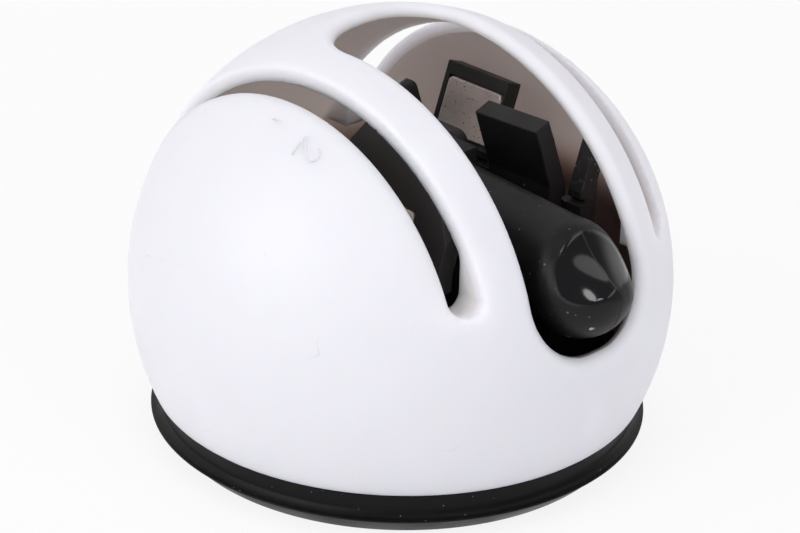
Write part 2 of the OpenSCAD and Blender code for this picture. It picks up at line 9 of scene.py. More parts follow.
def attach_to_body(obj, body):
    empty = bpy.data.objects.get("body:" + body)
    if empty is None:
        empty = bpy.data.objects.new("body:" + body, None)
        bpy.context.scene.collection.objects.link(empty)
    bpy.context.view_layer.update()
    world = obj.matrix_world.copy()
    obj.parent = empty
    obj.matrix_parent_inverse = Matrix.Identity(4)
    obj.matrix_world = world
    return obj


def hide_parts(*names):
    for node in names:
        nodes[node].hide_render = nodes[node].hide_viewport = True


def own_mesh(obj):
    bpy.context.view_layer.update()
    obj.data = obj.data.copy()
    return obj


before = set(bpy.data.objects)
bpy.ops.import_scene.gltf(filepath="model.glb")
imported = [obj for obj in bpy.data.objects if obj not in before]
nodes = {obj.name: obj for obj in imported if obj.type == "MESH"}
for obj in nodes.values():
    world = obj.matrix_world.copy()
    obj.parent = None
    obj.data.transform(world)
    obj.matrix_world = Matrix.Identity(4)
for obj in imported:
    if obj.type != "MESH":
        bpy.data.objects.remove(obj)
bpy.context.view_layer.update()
scene = bpy.context.scene
mm = 0.001
domeMiddle = 23.5  # height of the dome's sphere centre above the worktop, in mm
liftToFrame = np.array([0.0, 0.0, domeMiddle])
mergeGap = 1e-7  # points closer than this become one, in metres
print("frame loaded:", len(nodes), "nodes")


# camera, measured on the photograph; the middle is the sphere's centre in an 800 x 533 picture
photoView = {"azimuth": -45.4, "elevation": 26.12, "roll": 1.52, "distance": 450.0,
             "focalPixels": 3058.0, "middle": (400.6, 274.6), "picture": (800, 533), "sensor": 36.0,
             "clipStart": 0.01}


def placeCamera(view):
    az, el, roll = (math.radians(view[k]) for k in ("azimuth", "elevation", "roll"))
    back = Vector((math.sin(az) * math.cos(el), -math.cos(az) * math.cos(el), math.sin(el)))
    right = Vector((math.cos(az), math.sin(az), 0.0))
    up = back.cross(right)
    turnedRight = math.cos(roll) * right + math.sin(roll) * up
    turnedUp = math.cos(roll) * up - math.sin(roll) * right
    data = bpy.data.cameras.new("photoCamera")
    width, height = view["picture"]
    data.sensor_width = view["sensor"]
    data.lens = view["focalPixels"] * view["sensor"] / width
    data.shift_x = (width / 2 - view["middle"][0]) / width
    data.shift_y = (view["middle"][1] - height / 2) / width
    data.clip_start = view["clipStart"]
    camera = bpy.data.objects.new("photoCamera", data)
    camera.matrix_world = Matrix((turnedRight, turnedUp, back)).transposed().to_4x4()
    camera.location = (Vector((0, 0, domeMiddle)) + view["distance"] * back) * mm
    scene.collection.objects.link(camera)
    scene.camera = camera


placeCamera(photoView)
print("camera placed")


# node helpers
def addNode(tree, kind, values=None, **settings):
    # each value is a plain one, or another node's output to link
    made = tree.nodes.new(kind)
    for key, value in settings.items():
        setattr(made, key, value)
    for key, value in (values or {}).items():
        if isinstance(value, bpy.types.NodeSocket):
            tree.links.new(value, made.inputs[key])
        else:
            made.inputs[key].default_value = value
    return made


def calc(tree, operation, a, b=0.0, c=0.0):
    return addNode(tree, "ShaderNodeMath", {0: a, 1: b, 2: c}, operation=operation).outputs[0]


def vectorCalc(tree, operation, a, b, output="Value"):
    return addNode(tree, "ShaderNodeVectorMath", {0: a, 1: b}, operation=operation).outputs[output]


def ramp(tree, value, low, high, toLow=0.0, toHigh=1.0):
    values = {"Value": value, "From Min": low, "From Max": high, "To Min": toLow, "To Max": toHigh}
    return addNode(tree, "ShaderNodeMapRange", values, interpolation_type="SMOOTHSTEP").outputs["Result"]


noiseSpan = (0.3, 0.7)  # most of a noise lies between these
mixColour = {"mask": 0, "first": 6, "second": 7, "result": 2}  # numbers of the Mix node's colour sockets


def overNoise(tree, value, low, high):
    return ramp(tree, value, *noiseSpan, low, high)


def noise(tree, where, scale, values):
    return addNode(tree, "ShaderNodeTexNoise", {"Vector": where, "Scale": scale, **values}).outputs[0]


def blendColour(tree, mask, first, second):
    values = {mixColour["mask"]: mask, mixColour["first"]: first, mixColour["second"]: second}
    return addNode(tree, "ShaderNodeMix", values, data_type="RGBA").outputs[mixColour["result"]]


def shade(colour, factor):
    return [c * factor for c in colour[:3]] + [1]


def strongest(tree, mask, other, share):
    # a mask, or a share of another one where that is stronger
    return calc(tree, "MAXIMUM", mask, calc(tree, "MULTIPLY", other, share))


# shader groups shared by the finishes: each reads a vector and named amounts
def newGroup(name, amounts, outputs):
    tree = bpy.data.node_groups.new(name, "ShaderNodeTree")
    tree.interface.new_socket(name="Vector", in_out="INPUT", socket_type="NodeSocketVector")
    for label, value in amounts.items():
        socket = tree.interface.new_socket(name=label, in_out="INPUT", socket_type="NodeSocketFloat")
        socket.default_value = value
    for label in outputs:
        tree.interface.new_socket(name=label, in_out="OUTPUT", socket_type="NodeSocketFloat")
    return tree, tree.nodes.new("NodeGroupInput").outputs, tree.nodes.new("NodeGroupOutput").inputs


# small round specks, one in a share of the cells
dustSpecks = {"amounts": {"Scale": 400.0, "Size": 0.2, "Amount": 0.1}, "smallest": 0.35, "rim": (1.0, 0.6)}


def makeDustGroup():
    d = dustSpecks
    tree, into, out = newGroup("dustSpecks", d["amounts"], ["Mask"])
    cell = addNode(tree, "ShaderNodeTexVoronoi", {"Vector": into["Vector"], "Scale": into["Scale"]})
    pick = addNode(tree, "ShaderNodeSeparateColor", {"Color": cell.outputs["Color"]})
    chosen = calc(tree, "LESS_THAN", pick.outputs["Red"], into["Amount"])
    size = calc(tree, "MULTIPLY", into["Size"], calc(tree, "ADD", pick.outputs["Green"], d["smallest"]))
    ratio = calc(tree, "DIVIDE", cell.outputs["Distance"], size)
    tree.links.new(calc(tree, "MULTIPLY", ramp(tree, ratio, *d["rim"]), chosen), out["Mask"])
    return tree


# grain left by the mould, with a slow change of tone
mouldGrain = {"amounts": {"Scale": 900.0}, "fine": {"Detail": 4.0, "Roughness": 0.6},
              "slow": {"Detail": 2.0}, "slowShare": 0.06}


def makeMouldGroup():
    tree, into, out = newGroup("mouldGrain", mouldGrain["amounts"], ["Height", "Tone"])
    slowScale = calc(tree, "MULTIPLY", into["Scale"], mouldGrain["slowShare"])
    tree.links.new(noise(tree, into["Vector"], into["Scale"], mouldGrain["fine"]), out["Height"])
    tree.links.new(noise(tree, into["Vector"], slowScale, mouldGrain["slow"]), out["Tone"])
    return tree


# thin lines where a stretched noise passes its middle value, broken up by a second noise
scratchLines = {"amounts": {"Scale": 120.0, "Turn": 0.6, "Width": 0.01, "Amount": 0.4},
                "axis": (0.5, 0.7, 0.5), "stretch": (1.0, 0.12, 1.0), "line": {"Detail": 1.0},
                "breaks": {"Detail": 2.0}, "middle": 0.5, "rim": (1.0, 0.3), "kept": (0.95, 1.05)}


def makeScratchGroup():
    s = scratchLines
    tree, into, out = newGroup("handlingScratches", s["amounts"], ["Mask"])
    spin = {"Vector": into["Vector"], "Axis": s["axis"], "Angle": into["Turn"]}
    spun = addNode(tree, "ShaderNodeVectorRotate", spin, rotation_type="AXIS_ANGLE").outputs[0]
    drawn = vectorCalc(tree, "MULTIPLY", spun, s["stretch"], "Vector")
    lines = noise(tree, drawn, into["Scale"], s["line"])
    offset = calc(tree, "ABSOLUTE", calc(tree, "SUBTRACT", lines, s["middle"]))
    thin = ramp(tree, calc(tree, "DIVIDE", offset, into["Width"]), *s["rim"])
    breaks = noise(tree, into["Vector"], into["Scale"], s["breaks"])
    kept = ramp(tree, calc(tree, "ADD", breaks, into["Amount"]), *s["kept"])
    tree.links.new(calc(tree, "MULTIPLY", thin, kept), out["Mask"])
    return tree


# rubbed edges: where the shading normal differs from a rounded one, broken up by noise
edgeWear = {"amounts": {"Radius": 0.0004, "Amount": 1.0}, "samples": 6, "edge": (0.995, 0.9),
            "patchScale": 700.0, "patch": {"Detail": 3.0}, "worn": (0.35, 0.65)}


def makeEdgeGroup():
    e = edgeWear
    tree, into, out = newGroup("rubbedEdges", e["amounts"], ["Mask"])
    rounded = addNode(tree, "ShaderNodeBevel", {"Radius": into["Radius"]}, samples=e["samples"]).outputs[0]
    plain = addNode(tree, "ShaderNodeNewGeometry").outputs["Normal"]
    edge = ramp(tree, vectorCalc(tree, "DOT_PRODUCT", rounded, plain), *e["edge"])
    patch = noise(tree, into["Vector"], e["patchScale"], e["patch"])
    worn = calc(tree, "MULTIPLY", edge, ramp(tree, patch, *e["worn"]))
    tree.links.new(calc(tree, "MULTIPLY", worn, into["Amount"]), out["Mask"])
    return tree


dustGroup = makeDustGroup()
mouldGroup = makeMouldGroup()
scratchGroup = makeScratchGroup()
edgeGroup = makeEdgeGroup()


def place(tree, group, where, values):
    return addNode(tree, "ShaderNodeGroup", {"Vector": where, **values}, node_tree=group).outputs


def newFinish(name, **constants):
    finish = bpy.data.materials.new(name)
    finish.use_nodes = True
    tree = finish.node_tree
    shader = tree.nodes["Principled BSDF"]
    for key, value in constants.items():
        shader.inputs[key.replace("_", " ")].default_value = value
    where = tree.nodes.new("ShaderNodeTexCoord").outputs["Object"]
    return finish, tree, shader.inputs, where


def addBump(tree, shader, height, strength, distance):
    values = {"Height": height, "Strength": strength, "Distance": distance}
    tree.links.new(addNode(tree, "ShaderNodeBump", values).outputs[0], shader["Normal"])


# white shell: satin white outside; the inside a warmer colour, a painted warm tint for light passing through
# the shell, and darker low down, painted shade
shellWhite = {"outside": (0.875, 0.848, 0.892, 1), "outsideTone": (0.855, 0.828, 0.877, 1),
              # the inside colour is a painted warm tint of light through the shell; insidePaintedShade is
              # painted shade low inside
              "inside": (0.84, 0.785, 0.76, 1), "insidePaintedShade": (0.17, 0.14, 0.135, 1),
              "paintedShadeReach": (0.0015, 0.0115), "insideRadius": (0.0388, 0.0383), "mark": (0.30, 0.29, 0.29, 1),
              "gloss": 0.4, "scatter": 1.0, "scatterColour": (1.0, 0.88, 0.82), "scatterDepth": 0.005,
              "grain": {"Scale": 1500.0}, "dust": {"Scale": 230.0, "Size": 0.045, "Amount": 0.06},
              "scratches": {"Scale": 150.0, "Width": 0.004, "Amount": 0.33}, "scratchShare": 0.25,
              "rough": (0.4, 0.5), "bump": (0.05, 0.0001)}


def makeShellFinish():
    s = shellWhite
    finish, tree, shader, where = newFinish("satinWhiteShell", Specular_IOR_Level=s["gloss"],
                                            Subsurface_Weight=s["scatter"],
                                            Subsurface_Radius=s["scatterColour"],
                                            Subsurface_Scale=s["scatterDepth"])
    grain = place(tree, mouldGroup, where, s["grain"])
    dust = place(tree, dustGroup, where, s["dust"])
    lines = place(tree, scratchGroup, where, s["scratches"])
    inside = ramp(tree, vectorCalc(tree, "DISTANCE", where, (0, 0, domeMiddle * mm)), *s["insideRadius"])
    toned = blendColour(tree, grain["Tone"], s["outside"], s["outsideTone"])
    # painted shade: the inside darkens towards the bottom, under the painted warm tint
    rise = addNode(tree, "ShaderNodeSeparateXYZ", {0: where}).outputs["Z"]
    high = ramp(tree, calc(tree, "SUBTRACT", rise, domeMiddle * mm), *s["paintedShadeReach"])
    both = blendColour(tree, inside, toned, blendColour(tree, high, s["insidePaintedShade"], s["inside"]))
    specks = strongest(tree, dust["Mask"], lines["Mask"], s["scratchShare"])
    specks = calc(tree, "MULTIPLY", specks, calc(tree, "SUBTRACT", 1.0, inside))
    tree.links.new(blendColour(tree, specks, both, s["mark"]), shader["Base Color"])
    tree.links.new(overNoise(tree, grain["Tone"], *s["rough"]), shader["Roughness"])
    addBump(tree, shader, grain["Height"], *s["bump"])
    return finish


# black moulded plastic and rubber, with pale dust, finer fluff and rubbed edges
blackMould = {"grain": {"Scale": 2200.0}, "fluffScale": 2.7, "fluffShare": 0.5, "edgeRadius": 0.0005,
              "smears": {"Scale": 420.0, "Turn": 1.1, "Width": 0.03, "Amount": 0.5}, "toned": 1.5,
              "rubbed": 3.2, "bump": (0.25, 0.00008)}
holderBlack = {"colour": (0.011, 0.0106, 0.011, 1), "pale": (0.22, 0.21, 0.20, 1), "rough": (0.45, 0.57),
               "dust": {"Scale": 700.0, "Size": 0.14, "Amount": 0.05}, "wear": 0.8, "gloss": 0.42,
               "smear": 0.0}
guideBlack = {"colour": (0.011, 0.0106, 0.011, 1), "pale": (0.16, 0.16, 0.155, 1), "rough": (0.50, 0.62),
              "dust": {"Scale": 1300.0, "Size": 0.28, "Amount": 0.25}, "wear": 0.8, "gloss": 0.55,
              "smear": 0.2}
rubberBlack = {"colour": (0.0045, 0.0045, 0.005, 1), "pale": (0.35, 0.34, 0.33, 1), "rough": (0.33, 0.45),
               "dust": {"Scale": 520.0, "Size": 0.13, "Amount": 0.13}, "wear": 0.4, "gloss": 0.12,
               "smear": 0.0}


def makeBlackFinish(name, black):
    m = blackMould
    finish, tree, shader, where = newFinish(name, Specular_IOR_Level=black["gloss"])
    grain = place(tree, mouldGroup, where, m["grain"])
    dust = place(tree, dustGroup, where, black["dust"])
    finer = {**black["dust"], "Scale": black["dust"]["Scale"] * m["fluffScale"]}
    fluff = place(tree, dustGroup, where, finer)
    edge = place(tree, edgeGroup, where, {"Radius": m["edgeRadius"], "Amount": black["wear"]})
    specks = strongest(tree, dust["Mask"], fluff["Mask"], m["fluffShare"])
    if black["smear"]:
        smears = place(tree, scratchGroup, where, m["smears"])
        specks = strongest(tree, specks, smears["Mask"], black["smear"])
    toned = blendColour(tree, grain["Tone"], black["colour"], shade(black["colour"], m["toned"]))
    rubbed = blendColour(tree, edge["Mask"], toned, shade(black["colour"], m["rubbed"]))
    tree.links.new(blendColour(tree, specks, rubbed, black["pale"]), shader["Base Color"])
    tree.links.new(overNoise(tree, grain["Tone"], *black["rough"]), shader["Roughness"])
    addBump(tree, shader, grain["Height"], *m["bump"])
    return finish


# the lever: satin arm, polished thumb dish; the dish is the skin of a bent tube, given here in metres
leverBlack = {"colour": (0.0055, 0.0055, 0.0062, 1), "toned": 1.5, "pale": (0.34, 0.33, 0.32, 1),
              "bendCentre": (0.0, -0.04708, 0.02743), "bendUp": (0.0, -0.09932, 0.99506),
              "bendAlong": (0.0, 0.99506, 0.09932), "bendRadius": 0.0254, "dishRadius": 0.018,
              "dishEdge": (0.00022, 0.00003), "armGloss": 0.2, "rough": (0.38, 0.48), "polish": 0.1,
              "coat": 0.5, "coatRough": 0.1, "grain": {"Scale": 2600.0},
              "dust": {"Scale": 520.0, "Size": 0.17, "Amount": 0.075},
              "fluff": {"Scale": 1500.0, "Size": 0.22, "Amount": 0.09}, "fluffShare": 0.3,
              "scratches": {"Scale": 260.0, "Width": 0.006, "Amount": 0.3}, "scratchShare": 0.04,
              "bump": (0.2, 0.00006)}


def dishDepth(tree, where):
    b = leverBlack
    away = vectorCalc(tree, "SUBTRACT", where, b["bendCentre"], "Vector")
    up = vectorCalc(tree, "DOT_PRODUCT", away, b["bendUp"])
    along = vectorCalc(tree, "DOT_PRODUCT", away, b["bendAlong"])
    side = addNode(tree, "ShaderNodeSeparateXYZ", {0: where}).outputs["X"]

    def length(a, c):
        squares = calc(tree, "ADD", calc(tree, "MULTIPLY", a, a), calc(tree, "MULTIPLY", c, c))
        return calc(tree, "SQRT", squares)

    ring = calc(tree, "SUBTRACT", length(up, side), b["bendRadius"])
    return calc(tree, "SUBTRACT", length(ring, along), b["dishRadius"])


def makeLeverFinish():
    b = leverBlack
    finish, tree, shader, where = newFinish("satinBlackLever", Specular_IOR_Level=b["armGloss"],
                                            Coat_Roughness=b["coatRough"])
    grain = place(tree, mouldGroup, where, b["grain"])
    dust = place(tree, dustGroup, where, b["dust"])
    fluff = place(tree, dustGroup, where, b["fluff"])
    lines = place(tree, scratchGroup, where, b["scratches"])
    dish = ramp(tree, calc(tree, "ABSOLUTE", dishDepth(tree, where)), *b["dishEdge"])
    keep = calc(tree, "SUBTRACT", 1.0, dish)
    satin = calc(tree, "MULTIPLY", overNoise(tree, grain["Tone"], *b["rough"]), keep)
    polished = calc(tree, "ADD", satin, calc(tree, "MULTIPLY", dish, b["polish"]))
    specks = calc(tree, "MULTIPLY", strongest(tree, dust["Mask"], fluff["Mask"], b["fluffShare"]), keep)
    specks = strongest(tree, specks, lines["Mask"], b["scratchShare"])
    toned = blendColour(tree, grain["Tone"], b["colour"], shade(b["colour"], b["toned"]))
    tree.links.new(blendColour(tree, specks, toned, b["pale"]), shader["Base Color"])
    tree.links.new(polished, shader["Roughness"])
    tree.links.new(calc(tree, "MULTIPLY", dish, b["coat"]), shader["Coat Weight"])
    addBump(tree, shader, calc(tree, "MULTIPLY", grain["Height"], keep), *b["bump"])
    return finish


# sintered sharpening plates: warm grey metal with stains, dark pores and bright edges
insertGrey = {"colour": (0.78, 0.71, 0.68, 1), "tone": (0.60, 0.54, 0.505, 1), "toneSpan": (0.35, 0.65),
              "stain": (0.36, 0.31, 0.29, 1), "stains": {"Scale": 260.0}, "stainSpan": (0.48, 0.66),
              "stainShare": 0.8, "pore": (0.14, 0.12, 0.115, 1),
              "pores": {"Scale": 2300.0, "Size": 0.3, "Amount": 0.22},
              "flecks": {"Scale": 3400.0, "Size": 0.35, "Amount": 0.25}, "fleckShare": 0.45,
              "bright": (0.75, 0.72, 0.69, 1), "edge": {"Radius": 0.0003, "Amount": 1.0}, "metal": 0.6,
              "grain": {"Scale": 3000.0}, "rough": (0.36, 0.52), "bump": (0.3, 0.00008)}


def makeInsertFinish():
    g = insertGrey
    finish, tree, shader, where = newFinish("sinteredInsert", Metallic=g["metal"])
    grain = place(tree, mouldGroup, where, g["grain"])
    stains = place(tree, mouldGroup, where, g["stains"])
    pores = place(tree, dustGroup, where, g["pores"])
    flecks = place(tree, dustGroup, where, g["flecks"])
    edge = place(tree, edgeGroup, where, g["edge"])
    dark = strongest(tree, pores["Mask"], flecks["Mask"], g["fleckShare"])
    toned = blendColour(tree, ramp(tree, grain["Tone"], *g["toneSpan"]), g["colour"], g["tone"])
    stainMask = ramp(tree, stains["Tone"], *g["stainSpan"], 0.0, g["stainShare"])
    stained = blendColour(tree, stainMask, toned, g["stain"])
    bright = blendColour(tree, edge["Mask"], stained, g["bright"])
    tree.links.new(blendColour(tree, dark, bright, g["pore"]), shader["Base Color"])
    tree.links.new(overNoise(tree, grain["Height"], *g["rough"]), shader["Roughness"])
    addBump(tree, shader, calc(tree, "SUBTRACT", grain["Height"], dark), *g["bump"])
    return finish


# turned steel of the stem, pin and screws
steelGrey = {"colour": (0.55, 0.55, 0.56, 1), "tone": (0.42, 0.42, 0.43, 1), "line": (0.30, 0.30, 0.31, 1),
             "grain": {"Scale": 1800.0}, "scratches": {"Scale": 700.0, "Width": 0.03, "Amount": 0.5},
             "metal": 1.0, "rough": (0.24, 0.4), "bump": (0.1, 0.00005)}


def makeSteelFinish():
    g = steelGrey
    finish, tree, shader, where = newFinish("turnedSteel", Metallic=g["metal"])
    grain = place(tree, mouldGroup, where, g["grain"])
    lines = place(tree, scratchGroup, where, g["scratches"])
    toned = blendColour(tree, grain["Tone"], g["colour"], g["tone"])
    tree.links.new(blendColour(tree, lines["Mask"], toned, g["line"]), shader["Base Color"])
    tree.links.new(overNoise(tree, grain["Height"], *g["rough"]), shader["Roughness"])
    addBump(tree, shader, grain["Height"], *g["bump"])
    return finish


# fine marks on the shell, a shade greyer than it: painted shade standing in for the shadow lines of the
# pressed numbers and tick
numberShadeGrey = {"colour": (0.58, 0.58, 0.60, 1), "worn": (0.78, 0.78, 0.81, 1), "wornSpan": (0.4, 0.6),
            "grain": {"Scale": 600.0}, "rough": (0.4, 0.55), "gloss": 0.3}


def makeNumberShadeFinish():
    g = numberShadeGrey
    finish, tree, shader, where = newFinish("paintedShadeGreyMark", Specular_IOR_Level=g["gloss"])
    grain = place(tree, mouldGroup, where, g["grain"])
    worn = ramp(tree, grain["Height"], *g["wornSpan"])
    tree.links.new(blendColour(tree, worn, g["colour"], g["worn"]), shader["Base Color"])
    tree.links.new(overNoise(tree, grain["Tone"], *g["rough"]), shader["Roughness"])
    return finish


shellFinish = makeShellFinish()
holderFinish = makeBlackFinish("mattBlackHolder", holderBlack)
guideFinish = makeBlackFinish("scuffedBlackGuide", guideBlack)
rubberFinish = makeBlackFinish("mattBlackRubber", rubberBlack)
leverFinish = makeLeverFinish()
# the numbers' grey finish is painted shade for their shadow lines
numberShadeFinish = makeNumberShadeFinish()
insertFinish = makeInsertFinish()
steelFinish = makeSteelFinish()
print("finishes made")


# shapes as signed distance fields, in mm from the dome's middle
def bothFields(a, b, r):
    # what two shapes share, its edge rounded to radius r
    return np.minimum(-r, np.maximum(a, b)) + np.hypot(np.maximum(a + r, 0), np.maximum(b + r, 0))


def eitherField(a, b, r):
    # two shapes joined by a fillet of radius r
    return np.maximum(r, np.minimum(a, b)) - np.hypot(np.maximum(r - a, 0), np.maximum(r - b, 0))


def slotField(across, along, halfWidth, end, r):
    # a slot with round corners at its end, open the other way
    qa = np.abs(across) - (halfWidth - r)
    qb = along - (end - r)
    return np.hypot(np.maximum(qa, 0), np.maximum(qb, 0)) + np.minimum(np.maximum(qa, qb), 0) - r


def ballField(p, middle, radius):
    return np.linalg.norm(p - np.array(middle), axis=1) - radius


def outlineField(u, v, outline):
    # signed distance to a closed outline
    away = np.full(u.shape, np.inf)
    inside = np.zeros(u.shape, bool)
    for (au, av), (bu, bv) in zip(outline, outline[1:] + outline[:1]):
        eu, ev = bu - au, bv - av
        t = np.clip(((u - au) * eu + (v - av) * ev) / (eu * eu + ev * ev), 0, 1)
        away = np.minimum(away, np.hypot(u - au - t * eu, v - av - t * ev))
        if ev:
            inside ^= ((av > v) != (bv > v)) & (u < eu * (v - av) / ev + au)
    return np.where(inside, -away, away)


# how a field becomes a skin: lengths in mm, the sharp angle in degrees
skinning = {"slopeStep": 0.01, "leastSlope": 1e-6, "narrowings": 4, "sharp": 15.0, "probe": 0.25,
            "steadiness": 0.05, "settlings": 3, "pulls": 2}


def slopeOf(field, p):
    h = skinning["slopeStep"]
    slope = np.stack([field(p + s) - field(p - s) for s in np.eye(3) * h], -1) / (2 * h)
    return slope / np.maximum(np.linalg.norm(slope, axis=1), skinning["leastSlope"])[:, None]


def crossingOf(field, start, end, before, after):
    # the place on each grid line where the field is zero, narrowed down a few times
    low, high = np.zeros(len(start)), np.ones(len(start))
    for _ in range(skinning["narrowings"]):
        t = low + (high - low) * before / (before - after)
        spot = start + t[:, None] * (end - start)
        value = field(spot)
        same = (value < 0) == (before < 0)
        low, before = np.where(same, t, low), np.where(same, value, before)
        high, after = np.where(same, high, t), np.where(same, after, value)
    return spot


def cornerNormals(field, points, faces):
    # a point's own slope, or the slope just inside the face where the two disagree at an edge
    own = slopeOf(field, points)[faces].reshape(-1, 3)
    corners = points[faces]
    probe = (1 - skinning["probe"]) * corners + skinning["probe"] * corners.mean(1)[:, None]
    inFace = slopeOf(field, probe.reshape(-1, 3))
    agree = (own * inFace).sum(1) > math.cos(math.radians(skinning["sharp"]))
    return np.where(agree[:, None], own, inFace)


def fieldOnGrid(field, lines):
    values = np.empty([len(line) for line in lines])
    for i, x in enumerate(lines[0]):
        layer = np.stack(np.meshgrid([x], lines[1], lines[2], indexing="ij"), -1).reshape(-1, 3)
        values[i] = field(layer).reshape(values.shape[1:])
    return values


def skinOf(field, low, high, step):
    # one point in each cell that the surface crosses, set where the slopes at its crossings meet,
    # so that edges stay crisp
    low = np.array(low, float)
    counts = np.ceil((np.array(high) - low) / step).astype(int) + 1
    values = fieldOnGrid(field, [low[i] + step * np.arange(counts[i]) for i in range(3)])
    solid = values < 0
    corners = sum(solid[a:counts[0] - 1 + a, b:counts[1] - 1 + b, c:counts[2] - 1 + c].astype(np.int8)
                  for a in (0, 1) for b in (0, 1) for c in (0, 1))
    mixed = (corners > 0) & (corners < 8)  # some of a cell's eight corners are inside, not all
    cellCount = int(mixed.sum())
    index = np.full(mixed.shape, -1)
    index[mixed] = np.arange(cellCount)
    sums = np.zeros((cellCount, 16))  # place 3, count 1, spread of the slopes 9, pull 3
    faces = []
    for axis in range(3):
        first = np.moveaxis(solid, axis, 0)[:-1]
        second = np.moveaxis(solid, axis, 0)[1:]
        spots = np.argwhere(first != second)
        cells = np.moveaxis(index, axis, 0)
        before = np.moveaxis(values, axis, 0)[:-1][tuple(spots.T)]
        after = np.moveaxis(values, axis, 0)[1:][tuple(spots.T)]
        order = [axis] + [a for a in range(3) if a != axis]
        start = np.empty((len(spots), 3))
        start[:, order] = spots
        start = low + step * start
        spot = crossingOf(field, start, start + step * np.eye(3)[axis], before, after)
        slope = slopeOf(field, spot)
        spread = (slope[:, :, None] * slope[:, None, :]).reshape(-1, 9)
        pull = slope * (slope * spot).sum(1)[:, None]
        a, b, c = spots.T
        ring = np.stack([cells[a, b - 1, c - 1], cells[a, b, c - 1], cells[a, b, c], cells[a, b - 1, c]], -1)
        share = np.repeat(np.concatenate([spot, np.ones((len(spot), 1)), spread, pull], 1), 4, axis=0)
        sums += np.stack([np.bincount(ring.ravel(), column, cellCount) for column in share.T], -1)
        flip = first[tuple(spots.T)] if axis != 1 else ~first[tuple(spots.T)]
        faces.append(np.where(flip[:, None], ring, ring[:, ::-1]))
    hits = sums[:, 3:4]
    points = sums[:, :3] / hits
    spread, pull = sums[:, 4:13].reshape(-1, 3, 3), sums[:, 13:]
    steady = spread + skinning["steadiness"] * hits[:, :, None] * np.eye(3)
    for _ in range(skinning["settlings"]):
        rest = pull - np.einsum("nij,nj->ni", spread, points)
        points += np.linalg.solve(steady, rest[..., None])[..., 0]
    cellLow = low + step * np.argwhere(mixed)
    points = np.clip(points, cellLow, cellLow + step)
    for _ in range(skinning["pulls"]):
        points -= np.clip(field(points), -step / 2, step / 2)[:, None] * slopeOf(field, points)
    faces = np.concatenate(faces)
    return points, faces, cornerNormals(field, points, faces)


def newPiece(name, mesh):
    piece = bpy.data.objects.new(name, mesh)
    scene.collection.objects.link(piece)
    return piece


def meshFrom(name, points, faces, normals, finish):
    mesh = bpy.data.meshes.new(name)
    mesh.from_pydata(((points + liftToFrame) * mm).tolist(), [], faces.tolist())
    mesh.polygons.foreach_set("use_smooth", np.ones(len(faces), bool))
    mesh.normals_split_custom_set(normals.tolist())
    mesh.materials.append(finish)
    return newPiece(name, mesh)


def attach(piece, body, slot, *replaced):
    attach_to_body(piece, body)
    if replaced:
        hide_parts(*replaced)


# the dome: a thin ball with a rim, a lever slot and two knife slots with thick round ends
dome = {"radius": 40.0, "wall": 2.0, "rimDrop": 16.5, "rimEdge": 0.4, "leverEdge": 1.8, "stripEdge": 0.5,
        "outerEdge": 0.42, "leverHalf": 10.75, "leverFloor": 2.1, "leverFrontRound": 9.5, "leverBack": 8.5,
        "leverBackRound": 8.0, "knifeX": 19.5, "knifeHalf": 2.2, "knifeFlat": 0.01, "knifeFloor": 11.6,
        "guideWall": 1.5, "guideY": 28.25, "guideHeight": 9.0, "guideFillet": 0.6, "bossReach": 29.03,
        "bossRadius": 3.0, "bossWeb": 1.8, "bossFoot": -13.5, "bossHeight": 9.0, "cell": 0.61, "margin": 1.0}


def domeField(p):
    x, y, z = p.T
    d = dome
    away = np.linalg.norm(p, axis=1)
    leverSlot = np.maximum(slotField(x, -z, d["leverHalf"], -d["leverFloor"], d["leverFrontRound"]),
                           slotField(x, y, d["leverHalf"], d["leverBack"], d["leverBackRound"]))
    fromKnife = np.abs(x) - d["knifeX"]
    knifeSlot = slotField(fromKnife, -z, d["knifeHalf"], -d["knifeFloor"], d["knifeHalf"] - d["knifeFlat"])
    guideLow = d["knifeFloor"] - d["guideWall"]
    guides = np.maximum.reduce([np.abs(fromKnife) - d["knifeHalf"] - d["guideWall"], d["guideY"] - np.abs(y),
                                guideLow - z, z - d["knifeFloor"] - d["guideHeight"]])
    far, near = np.maximum(np.abs(x), np.abs(y)), np.minimum(np.abs(x), np.abs(y))
    post = np.minimum(np.hypot(far - d["bossReach"], near) - d["bossRadius"],
                      np.maximum(near - d["bossWeb"], d["bossReach"] - far))
    bosses = np.maximum.reduce([post, d["bossFoot"] - z, z - d["bossFoot"] - d["bossHeight"]])
    inside = eitherField(d["radius"] - d["wall"] - away, guides, d["guideFillet"])
    inside = np.minimum(inside, bosses)
    knifeEdge = np.interp(fromKnife, (-d["knifeHalf"], d["knifeHalf"]), (d["stripEdge"], d["outerEdge"]))
    skin = bothFields(away - d["radius"], -leverSlot, d["leverEdge"])
    skin = bothFields(skin, -knifeSlot, knifeEdge)
    return bothFields(np.maximum(skin, inside), -d["rimDrop"] - z, d["rimEdge"])


# a whole number of cells each way, so that the grid lies the same on both sides of the middle
reach = dome["cell"] * math.ceil((dome["radius"] + dome["margin"]) / dome["cell"])
domeLow = (-reach, -reach, -dome["rimDrop"] - dome["margin"])
points, faces, normals = skinOf(domeField, domeLow, (reach, reach, reach), dome["cell"])
domePiece = meshFrom("domeShell", points, faces, normals, shellFinish)
attach(domePiece, "housing", "white_plastic", "dome_shell")
print("dome made:", len(faces), "faces")


